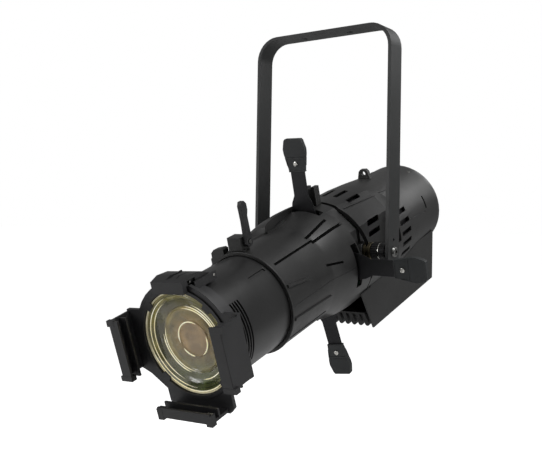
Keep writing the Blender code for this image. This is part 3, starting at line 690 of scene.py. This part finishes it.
def vent_cutters():
    """Louvre slots in the top and both sides: (angles in degrees, back, front)."""
    side_groups = (((32, 20), -0.070, -0.033), ((24, 12, 0, -12, -24), -0.149, -0.112))
    groups = [((65, 80, 95, 110), -0.074, -0.036)]
    for angles, back, front in side_groups:
        groups += [(angles, back, front), ([180 - degrees for degrees in angles], back, front)]
    made = []
    for angles, back, front in groups:
        for degrees in angles:
            slot = block((0.05, -0.004, back), (0.1, 0.004, front))
            made.append(moved(slot, Matrix.Rotation(math.radians(degrees), 4, "Z")))
    return made


def build_housing():
    housing = body_shell(HOUSING_OUTLINE, HOUSING_WALL, "rear_housing")
    cut(housing, *vent_cutters(), parting_groove(-0.0019, 0.0042))
    creases = (((59.5, -0.012), (53.0, -0.146)), ((11.0, -0.147), (6.0, -0.219)),
               ((120.5, -0.012), (127.0, -0.146)), ((169.0, -0.147), (174.0, -0.219)))
    for start, end in creases:
        cut(housing, swept(course(start, end), body_radius, 0.0016, 0.003, 0.0007, "crease", 1.6))
    for start, end in (((25.0, -0.226), (8.5, -0.226)), ((155.0, -0.226), (171.5, -0.226))):
        cut(housing, swept(course(start, end), body_radius, 0.0042, 0.004, 0.0026, "slit", 1.0))
    finish_piece(housing, "rear_housing_casting", OPTICAL, "casting_black", "housing", ["rear_housing"],
                 0.0006, outline=HOUSING_OUTLINE)
    baffle = lathe([(-0.020, 0.0800), (-0.160, 0.0780), (-0.160, 0.0770), (-0.020, 0.0790)], "baffle", 64)
    room = (block((0.064, -0.03, -0.12), (0.1, 0.08, 0.04)),
            block((-0.1, -0.03, -0.12), (-0.064, 0.08, 0.04)))
    chamfers = []
    for side in (-1, 1):
        wedge = block((-0.06, 0.0745, -0.12), (0.06, 0.13, 0.04))
        wedge.data.transform(Matrix.Rotation(-side * math.pi / 4, 4, "Z"))
        chamfers.append(wedge)
    cut(baffle, *room, *chamfers)
    finish_piece(baffle, "housing_light_baffle", OPTICAL, "plastic_black", "housing", (), 0)
    lug = from_cad("safety_lug", OPTICAL)
    finish_piece(lug, "safety_lug_cast", OPTICAL, "casting_black", "housing", ["safety_lug"], 0.0009, 3)
    cover = from_cad("slot_cover", OPTICAL)
    low, high = block_of("slot_cover", OPTICAL)
    notch = block((low.x + 0.006, high.y - 0.003, low.z - 0.01),
                  (low.x + 0.013, high.y + 0.01, high.z + 0.01))
    cut(cover, notch)
    finish_piece(cover, "slot_cover_tab", OPTICAL, "casting_black", "housing", ["slot_cover"], 0.0008, 3)
    for degrees in (62.0, 118.0, -64.0, -116.0):
        screw_in_casting("housing_screw_%d" % (degrees % 360), OPTICAL, degrees, -0.258, body_radius,
                         "housing")


def block_of(node, matrix):
    """A node's lowest and highest corner in a local frame."""
    inverse = matrix.inverted()
    points = [inverse @ vertex.co for vertex in frame["nodes"][node].data.vertices]
    low = Vector([min(point[i] for point in points) for i in range(3)])
    high = Vector([max(point[i] for point in points) for i in range(3)])
    return low, high


# ------------ shutters


def build_shutters():
    for word in ("top", "bottom", "near", "far"):
        body = "shutter_" + word
        out = -Vector(JOINTS[body + "_slide"]["axis"]).normalized()
        across = FORWARD.cross(out)
        seat = middle("shutter_screw_" + word)
        # local X outwards along the blade, Z along the light, the screw at the origin
        local = frame_matrix(seat, out, across, FORWARD)
        remade("shutter_blade_" + word, local, "blade_black", 0.0002, 1)
        grip = from_cad("shutter_grip_" + word, local)
        low, high = block_of("shutter_grip_" + word, local)
        waist = 0.0052
        for face in (1, -1):
            middle_z = (low.z + high.z) / 2
            depth = (high.z - low.z) / 2
            near, far = sorted((middle_z + face * (depth - 0.0009), middle_z + face * (depth + 0.004)))
            cut(grip, block((low.x + 0.0015, low.y + 0.0040, near), (waist + 0.0018, high.y - 0.0040, far)))
            near, far = sorted((middle_z + face * (depth - 0.0007), middle_z + face * (depth + 0.004)))
            cut(grip, block((waist + 0.0045, low.y - 0.01, near), (waist + 0.0055, high.y + 0.01, far)))
        finish_piece(grip, "shutter_grip_%s_moulded" % word, local, "grip_black", body,
                     ["shutter_grip_" + word], 0.0011, 3)
        screw_low, screw_high = block_of("shutter_screw_" + word, local)
        size = (screw_high.y - screw_low.y) / 2
        screw = lathe([(screw_high.z, 0), (screw_high.z, size * 0.55), (screw_high.z - 0.0006, size * 0.9),
                       (screw_high.z - 0.0013, size), (screw_low.z + 0.0048, size),
                       (screw_low.z + 0.0048, 0.0018),
                       (screw_low.z, 0.0018), (screw_low.z, 0)], "screw", 24, False)
        cut(screw, block((-size * 0.6, -0.0004, screw_high.z - 0.0008),
                         (size * 0.6, 0.0004, screw_high.z + 0.01)),
            block((-0.0004, -size * 0.6, screw_high.z - 0.0008), (0.0004, size * 0.6, screw_high.z + 0.01)))
        finish_piece(screw, "shutter_screw_%s_headed" % word, local, "steel_bright", body,
                     ["shutter_screw_" + word], 0.00015)
    for name in ("shutter_gate_rear", "shutter_gate_front"):
        remade(name, OPTICAL, "blade_black", 0.0002, 1)


# ------------ focus clamp


def build_focus_clamp():
    remade("focus_clamp", OPTICAL, "casting_black", 0.0009, 3)
    lever = from_cad("focus_lever", OPTICAL)
    finish_piece(lever, "focus_lever_moulded", OPTICAL, "plastic_black", "lever", ["focus_lever"], 0.0010, 3)
    bolt = from_cad("focus_clamp_bolt", OPTICAL)
    finish_piece(bolt, "focus_clamp_bolt_turned", OPTICAL, "steel_dark", "lever", ["focus_clamp_bolt"],
                 0.0004)


# ------------ lens tube, lens, holder


def build_lens_tube():
    low, high = block_of("lens_tube", LENS)
    bore = LENS_TUBE_RADIUS - 0.0026
    outline = [(high.z, LENS_TUBE_RADIUS - 0.0006), (high.z - 0.0006, LENS_TUBE_RADIUS),
               (low.z, LENS_TUBE_RADIUS), (low.z, bore), (high.z, bore)]
    tube = lathe(outline, "tube")
    for along in (0.2925, 0.2975, 0.3025, 0.3075):
        for start, end in ((36.0, -34.0), (216.0, 146.0)):
            cut(tube, swept(course((start, along), (end, along), 20), tube_radius, 0.0030, 0.004, 0.005,
                            "vent", 1.0))
    for degrees in (48.0, 228.0):
        guide = swept(course((degrees, 0.2480), (degrees + 1.0, 0.2120)), tube_radius, 0.0046, 0.004,
                      0.0022, "guide", 1.1)
        cut(tube, guide)
    finish_piece(tube, "lens_tube_turned", LENS, "tube_black", "lens", ["lens_tube"], 0.0004)
    liner = lathe([(0.3120, bore - 0.0004), (0.2880, bore - 0.0004), (0.2880, bore - 0.0014),
                   (0.3120, bore - 0.0014)], "liner", 64)
    finish_piece(liner, "vent_light_trap", LENS, "plastic_black", "lens", (), 0)


def partial_ring(radius, along, thick, start, end, name):
    """A thin round bead along part of a circle, tapering at its ends."""
    shape = bmesh.new()
    steps, sides = max(8, int(abs(end - start) / 3)), 8
    rings = []
    for i in range(steps + 1):
        share = i / steps
        angle = math.radians(start + (end - start) * share)
        size = thick * min(1.0, 0.12 + 6 * min(share, 1 - share))
        outward = Vector((math.cos(angle), math.sin(angle), 0))
        centre = outward * radius + Vector((0, 0, along))
        made = []
        for side in range(sides):
            turn = 2 * math.pi * side / sides
            made.append(shape.verts.new(centre + outward * size * math.cos(turn)
                                        + Vector((0, 0, size * math.sin(turn)))))
        rings.append(made)
    for first, second in zip(rings, rings[1:]):
        for i in range(sides):
            j = (i + 1) % sides
            shape.faces.new((first[i], first[j], second[j], second[i]))
    shape.faces.new(rings[0])
    shape.faces.new(rings[-1])
    return from_bmesh(name, shape)


def crowned(rim, apex, radius, steps=24):
    """A lens face from its rim to its apex: gently domed, falling off steeply near the rim."""
    made = []
    for i in range(steps, -1, -1):
        share = i / steps
        drop = 0.36 * share ** 2 + 0.64 * max(0.0, (share - 0.74) / 0.26) ** 1.7
        made.append((apex - (apex - rim) * drop, radius * share))
    return made


# the bowl seen behind the glass, from its edge inwards: (share of the radius, depth below the edge)
LENS_ZONES = ((0.985, 0.0000), (0.962, 0.0016), (0.948, 0.0008), (0.915, 0.0034), (0.895, 0.0026),
              (0.850, 0.0062), (0.830, 0.0052), (0.770, 0.0084), (0.670, 0.0104), (0.655, 0.0092),
              (0.632, 0.0106), (0.618, 0.0094), (0.595, 0.0116), (0.360, 0.0136), (0.345, 0.0122),
              (0.330, 0.0138), (0.0, 0.0154))
# bright lines along them, beads that glow as painted highlights: (share, depth, thickness, start and end in
# degrees)
LENS_LINES = (
    (0.340, 0.0122, 0.00085, 62, 196), (0.340, 0.0122, 0.00085, 214, 264),
    (0.340, 0.0122, 0.00085, -62, 12), (0.625, 0.0092, 0.00065, 158, 262),
    (0.672, 0.0090, 0.00075, 172, 254), (0.620, 0.0092, 0.00065, -28, 96),
    (0.672, 0.0088, 0.00075, -30, 88), (0.725, 0.0086, 0.00055, -24, 74),
    (0.840, 0.0050, 0.00060, 120, 246), (0.905, 0.0026, 0.00065, 112, 268),
    (0.770, 0.0082, 0.00070, -84, -40), (0.955, 0.0008, 0.00080, 186, 318),
)
LENS_DOME = 0.0065  # how far the glass bulges past its rim


def build_front_lens():
    """A coated lens: glass face, moulded zones behind it coloured with painted reflections, and the bright lines
    of its edges, which glow as painted highlights.
    """
    low, high = block_of("front_lens", LENS)
    radius = (high.x - low.x) / 2
    rim = high.z - LENS_DOME
    glass = lathe([(low.z + 0.0060, 0), (low.z + 0.0040, radius * 0.95), (low.z + 0.0040, radius)]
                  + crowned(rim, high.z, radius), "glass", TURN, False)
    finish_piece(glass, "front_lens_glass", LENS, "lens_glass", "lens", ["front_lens"], 0)
    floor = rim - 0.0004
    face = [(floor - depth, radius * share) for share, depth in LENS_ZONES]
    back = [(floor - 0.0190, 0.0), (floor - 0.0190, radius * 0.60), (floor - 0.0045, radius * 0.985)]
    bowl = lathe([*reversed(face), *reversed(back)], "bowl", TURN, False)
    finish_piece(bowl, "front_lens_zones", LENS, "lens_zones_painted_reflections", "lens", (), 0)
    section = ((0.0002, 0.999), (0.0005, 0.990), (0.0003, 0.978), (-0.0010, 0.972), (-0.0050, 0.990),
               (-0.0050, 0.999))
    edge = lathe([(rim + rise, radius * share) for rise, share in section], "edge")
    finish_piece(edge, "front_lens_edge", LENS, "lens_edge_painted_glow", "lens", (), 0.0002)
    merged = bmesh.new()
    for share, depth, thick, start, end in LENS_LINES:
        bead = partial_ring(radius * share, floor - depth + 0.0008, thick, start, end, "bead")
        merged.from_mesh(bead.data)
        bpy.data.objects.remove(bead)
    lines = from_bmesh("lines", merged)
    finish_piece(lines, "front_lens_lines", LENS, "lens_line_painted_glow", "lens", (), 0)


def build_holder():
    remade("accessory_holder", LENS, "holder_black", 0.0007, 2)
    remade("lens_retainer", LENS, "plastic_black", 0.0003, 1)
    low, high = block_of("top_latch", LENS)
    latch = from_cad("top_latch", LENS)
    across = 0.0035
    cut(latch, block((-across, high.y - 0.0030, low.z), (across, high.y + 0.01, high.z - 0.004)),
        block((0.0120, high.y - 0.0022, low.z), (0.0135, high.y + 0.01, high.z - 0.002)))
    recess = high.x - 0.0035
    for side in (-1, 1):
        near, far = sorted((side * recess, side * 0.1))
        cut(latch, block((near, low.y + 0.008, low.z + 0.036), (far, high.y - 0.006, high.z - 0.010)))
    finish_piece(latch, "top_latch_cast", LENS, "holder_black", "latch", ["top_latch"], 0.0008, 3)
    for side, word in ((-1, "far"), (1, "near")):
        stud = lathe([(0.0, 0), (0.0, 0.0016), (0.0028, 0.0016), (0.0032, 0.0010), (0.0032, 0)], "stud",
                     16, False, "X")
        seat = Matrix.Translation((side * recess, (low.y + high.y) / 2 + 0.001, high.z - 0.016))
        flip = Matrix.Rotation(0 if side > 0 else math.pi, 4, "Z")
        finish_piece(stud, "latch_stud_" + word, LENS @ seat @ flip, "steel_dark", "latch", (), 0.0002)
    pin = from_cad("latch_pin", LENS)
    finish_piece(pin, "latch_pin_turned", LENS, "steel_bright", "latch", ["latch_pin"], 0.0003)


# ------------ driver box and rear panel


def build_driver_box():
    remade("driver_box", OPTICAL, "casting_black", 0.0009, 3)
    remade("driver_heatsink", OPTICAL, "casting_black", 0.0003, 1)


def build_rear_panel():
    cap = from_cad("rear_cap", OPTICAL)
    low, high = block_of("rear_cap", OPTICAL)
    groove = tube_ring(low.z - 0.002, low.z + 0.0010, 0.0668, 0.0680, "cap_groove")
    cut(cap, groove)
    finish_piece(cap, "rear_cap_moulded", OPTICAL, "plastic_black", "housing", ["rear_cap"], 0.0006)
    for name in ("power_inlet", "data_socket_in", "data_socket_out"):
        remade(name, OPTICAL, "plastic_black", 0.0004, 2)
    remade("display_window", OPTICAL, "screen_dark", 0.0005, 2)
    for i in range(4):
        node_name = "menu_button_%d" % (i + 1)
        remade(node_name, OPTICAL, "grip_black", 0.0006, 3)
    box_low, box_high = block_of("power_inlet", OPTICAL)
    centre = (box_low + box_high) / 2
    for i in range(3):
        x = centre.x + (i - 1) * 0.0065
        y = centre.y + (0.0022 if i == 1 else -0.0016)
        blade = block((x - 0.0010, y - 0.0024, box_low.z + 0.0035),
                      (x + 0.0010, y + 0.0024, box_low.z + 0.0165))
        finish_piece(blade, "inlet_blade_%d" % (i + 1), OPTICAL, "steel_bright", "housing", (), 0.0003)
    for word in ("in", "out"):
        low, high = block_of("data_socket_" + word, OPTICAL)
        centre = (low + high) / 2
        for i in range(5):
            turn = math.radians(60 * i + 30)
            x, y = centre.x + 0.0045 * math.cos(turn), centre.y + 0.0045 * math.sin(turn)
            contact = lathe([(low.z + 0.0125, 0), (low.z + 0.0125, 0.0008), (low.z + 0.0045, 0.0008),
                             (low.z + 0.0040, 0.0005), (low.z + 0.0040, 0)], "contact", 12, False)
            moved(contact, Matrix.Translation((x, y, 0)))
            finish_piece(contact, "contact_%s_%d" % (word, i + 1), OPTICAL, "brass_dull", "housing", (), 0)
        for side in (-1, 1):
            flat_screw("socket_screw_%s_%d" % (word, (side + 3) // 2), centre.x + side * 0.0105,
                       centre.y + 0.0135, low.z + 0.0020)
    for turn in (20, 160, 245, 295):
        spot_at = spot(0.0700, turn, 0)
        flat_screw("cap_screw_%d" % turn, spot_at.x, spot_at.y, low.z + 0.0020)


def flat_screw(name, x, y, face):
    """A screw head on the rear panel, facing backwards."""
    size = 0.0028
    dome = [(0.0014, 0), (0.0012, size * 0.7), (0.0006, size), (-0.0008, size), (-0.0008, 0)]
    head = lathe(dome, name, 20, False)
    cut(head, block((-size * 0.6, -0.0004, 0.0006), (size * 0.6, 0.0004, 0.003)),
        block((-0.0004, -size * 0.6, 0.0006), (0.0004, size * 0.6, 0.003)))
    seat = Matrix.Translation((x, y, face)) @ Matrix.Rotation(math.pi, 4, "Y")
    return finish_piece(head, name, OPTICAL @ seat, "steel_dark", "housing", (), 0.00012)


# ------------ inside


INSIDE = {
    "led_heatsink": "aluminium_plain", "led_board": "board_green", "led_emitter": "emitter_yellow",
    "collimator": "aluminium_plain", "condenser_lens": "lens_glass", "fan_frame": "plastic_black",
    "fan_rotor": "plastic_black", "driver_board": "board_green", "rear_lens": "lens_glass",
    "rear_lens_ring": "plastic_black",
}


def dress_inside():
    for name, material in INSIDE.items():
        piece = frame["nodes"][name]
        piece.data.materials.clear()
        piece.data.materials.append(MATERIALS[material])


# ------------ lens materials


def lens_materials():
    tree, shader = new_material("lens_glass")
    shader.inputs["Base Color"].default_value = (1.0, 0.94, 0.80, 1.0)
    shader.inputs["Metallic"].default_value = 1.0
    shader.inputs["Roughness"].default_value = 0.03
    gloss = node(tree, "ShaderNodeLayerWeight", Blend=0.5)
    rise = tree.nodes.new("ShaderNodeMath")
    rise.operation = "POWER"
    rise.inputs[1].default_value = 3.2
    tree.links.new(gloss.outputs["Facing"], rise.inputs[0])
    tree.links.new(spread(tree, rise.outputs["Value"], 0.012, 0.95, 0.0, 1.0), shader.inputs["Alpha"])

    tree, shader = new_material("lens_zones_painted_reflections")
    back = LENS.inverted()
    inverse = node(tree, "ShaderNodeMapping", Location=back.to_translation(), Rotation=back.to_euler())
    tree.links.new(coordinates(tree), inverse.inputs["Vector"])
    place = inverse.outputs["Vector"]
    flat = node(tree, "ShaderNodeMapping", Scale=(1, 1, 0))
    tree.links.new(place, flat.inputs["Vector"])
    length = tree.nodes.new("ShaderNodeVectorMath")
    length.operation = "LENGTH"
    tree.links.new(flat.outputs["Vector"], length.inputs[0])
    share = spread(tree, length.outputs["Value"], 0.0, 1.0, 0.0, 0.0708)
    # colour by radius across the zones: painted reflections of the coated lens, with bright painted highlight
    # bands near 0.62, 0.88 and the rim
    painted_reflection_rings = ramp(tree, share, [
        (0.00, (0.430, 0.290, 0.150)), (0.32, (0.450, 0.300, 0.140)), (0.37, (0.300, 0.210, 0.075)),
        (0.55, (0.200, 0.155, 0.045)), (0.62, (0.520, 0.420, 0.150)), (0.67, (0.095, 0.085, 0.022)),
        (0.82, (0.070, 0.072, 0.014)), (0.88, (0.420, 0.380, 0.130)), (0.92, (0.100, 0.105, 0.024)),
        (1.00, (0.680, 0.600, 0.300)),
    ])
    # towards the bottom the colour turns dark green: a painted reflection
    parts = tree.nodes.new("ShaderNodeSeparateXYZ")
    tree.links.new(place, parts.inputs["Vector"])
    height = spread(tree, parts.outputs["Y"], 0.0, 1.0, -0.055, -0.018)
    lower_painted_reflection = tree.nodes.new("ShaderNodeMix")
    lower_painted_reflection.data_type = "RGBA"
    lower_painted_reflection.inputs[6].default_value = (0.085, 0.115, 0.035, 1.0)
    tree.links.new(height, lower_painted_reflection.inputs["Factor"])
    tree.links.new(painted_reflection_rings, lower_painted_reflection.inputs[7])
    haze = noise(tree, 48.0, 2.0)
    warm = tree.nodes.new("ShaderNodeMix")
    warm.data_type = "RGBA"
    warm.blend_type = "MULTIPLY"
    warm.inputs["Factor"].default_value = 0.65
    tree.links.new(lower_painted_reflection.outputs[2], warm.inputs[6])
    tree.links.new(ramp(tree, haze, [(0.38, (0.34, 0.32, 0.24)), (0.56, (1.0, 0.98, 0.92))]), warm.inputs[7])
    tree.links.new(warm.outputs[2], shader.inputs["Base Color"])
    tree.links.new(spread(tree, haze, 0.12, 0.30), shader.inputs["Roughness"])
    shader.inputs["Specular IOR Level"].default_value = 0.8

    # the pale-gold lens edge and zone lines glow (Emission) though they are no lamp: painted highlights, the lines
    # more strongly
    for name, dark, light, rough, glow in (
        ("lens_edge_painted_glow", (0.62, 0.55, 0.34), (0.95, 0.90, 0.66), 0.16, 0.10),
        ("lens_line_painted_glow", (0.95, 0.86, 0.52), (1.0, 0.97, 0.78), 0.20, 0.42),
    ):
        tree, shader = new_material(name)
        colour = ramp(tree, noise(tree, 55.0, 2.0), [(0.35, dark), (0.65, light)])
        tree.links.new(colour, shader.inputs["Base Color"])
        tree.links.new(colour, shader.inputs["Emission Color"])
        shader.inputs["Emission Strength"].default_value = glow
        roughness = spread(tree, noise(tree, 90.0, 1.0), rough * 0.7, rough * 1.4)
        tree.links.new(roughness, shader.inputs["Roughness"])
        shader.inputs["Specular IOR Level"].default_value = 0.9


# ------------ studio


def area_light(name, at, target, size, power, colour=(1, 1, 1)):
    light = bpy.data.lights.new(name, "AREA")
    light.shape = "RECTANGLE"
    light.size, light.size_y = size
    light.energy = power
    light.color = colour
    made = bpy.data.objects.new(name, light)
    bpy.context.scene.collection.objects.link(made)
    made.location = at
    made.rotation_euler = (Vector(target) - Vector(at)).to_track_quat("-Z", "Y").to_euler()
    return made


# each as (name, place from the object's middle, size, watts)
SOFTBOXES = (
    ("overhead", (0.80, -0.16, 1.32), (0.60, 0.60), 17),
    ("front", (-0.95, -1.55, 0.25), (0.5, 0.8), 7),
    ("side", (1.9, 0.2, -0.2), (0.7, 1.0), 6),
    ("rear", (0.3, 1.8, 0.9), (1.0, 0.7), 5),
)


def build_studio():
    scene = bpy.context.scene
    scene.view_settings.view_transform = "Standard"
    low, high = CAD_BOX
    centre = (Vector(low) + Vector(high)) / 2
    plane = disc(low[2] - 0.27, low[2] - 0.25, 60.0, "studio_floor", 96)
    tree, shader = new_material("floor_pale")
    tree.links.new(ramp(tree, noise(tree, 2.0), [(0.3, (0.86, 0.86, 0.86)), (0.7, (0.90, 0.90, 0.90))]),
                   shader.inputs["Base Color"])
    shader.inputs["Roughness"].default_value = 0.9
    shader.inputs["Specular IOR Level"].default_value = 0.1
    glow = node(tree, "ShaderNodeEmission", Color=(1, 1, 1, 1), Strength=0.80)
    seen_floor = tree.nodes.new("ShaderNodeAddShader")
    either = tree.nodes.new("ShaderNodeMixShader")
    look = tree.nodes.new("ShaderNodeLightPath")
    tree.links.new(shader.outputs["BSDF"], seen_floor.inputs[0])
    tree.links.new(glow.outputs["Emission"], seen_floor.inputs[1])
    tree.links.new(look.outputs["Is Camera Ray"], either.inputs["Fac"])
    tree.links.new(shader.outputs["BSDF"], either.inputs[1])
    tree.links.new(seen_floor.outputs["Shader"], either.inputs[2])
    tree.links.new(either.outputs["Shader"], tree.nodes["Material Output"].inputs["Surface"])
    plane.data.materials.append(MATERIALS["floor_pale"])

    world = bpy.data.worlds.new("studio")
    scene.world = world
    world.use_nodes = True
    tree = world.node_tree
    tree.nodes.clear()
    out = tree.nodes.new("ShaderNodeOutputWorld")
    mix = tree.nodes.new("ShaderNodeMixShader")
    path = tree.nodes.new("ShaderNodeLightPath")
    around = node(tree, "ShaderNodeBackground", Color=(1, 1, 1, 1), Strength=0.24)
    seen = node(tree, "ShaderNodeBackground", Color=(1, 1, 1, 1), Strength=1.0)
    tree.links.new(path.outputs["Is Camera Ray"], mix.inputs["Fac"])
    tree.links.new(around.outputs["Background"], mix.inputs[1])
    tree.links.new(seen.outputs["Background"], mix.inputs[2])
    tree.links.new(mix.outputs["Shader"], out.inputs["Surface"])

    for word, offset, size, power in SOFTBOXES:
        area_light(word + "_softbox", centre + Vector(offset), centre, size, power)


CAMERA_ANGLES = (36.11, 0.57, 0.91)  # azimuth, pitch and roll in degrees
CAMERA_AT = (0.6817, -1.0789, -0.3113)
CAMERA_LENS, CAMERA_SHIFT = 52.56, -0.01557


def build_camera():
    azimuth, pitch, roll = (math.radians(angle) for angle in CAMERA_ANGLES)
    ahead = Vector((-math.sin(azimuth) * math.cos(pitch), math.cos(azimuth) * math.cos(pitch),
                    math.sin(pitch)))
    right = Vector((math.cos(azimuth), math.sin(azimuth), 0))
    up = right.cross(ahead)
    rolled_right = right * math.cos(roll) + up * math.sin(roll)
    rolled_up = up * math.cos(roll) - right * math.sin(roll)
    camera = bpy.data.cameras.new("photo_camera")
    made = bpy.data.objects.new("photo_camera", camera)
    bpy.context.scene.collection.objects.link(made)
    turn = Matrix((rolled_right, rolled_up, -ahead)).transposed()
    made.matrix_world = Matrix.Translation(CAMERA_AT) @ turn.to_4x4()
    camera.sensor_width = 36
    camera.lens = CAMERA_LENS
    camera.shift_y = CAMERA_SHIFT
    bpy.context.scene.camera = made


for build in (lens_materials, build_camera, build_studio, build_yoke, build_pivots, build_barrel,
              build_housing, build_shutters, build_focus_clamp, build_lens_tube, build_front_lens,
              build_holder, build_driver_box, build_rear_panel, dress_inside):
    build()
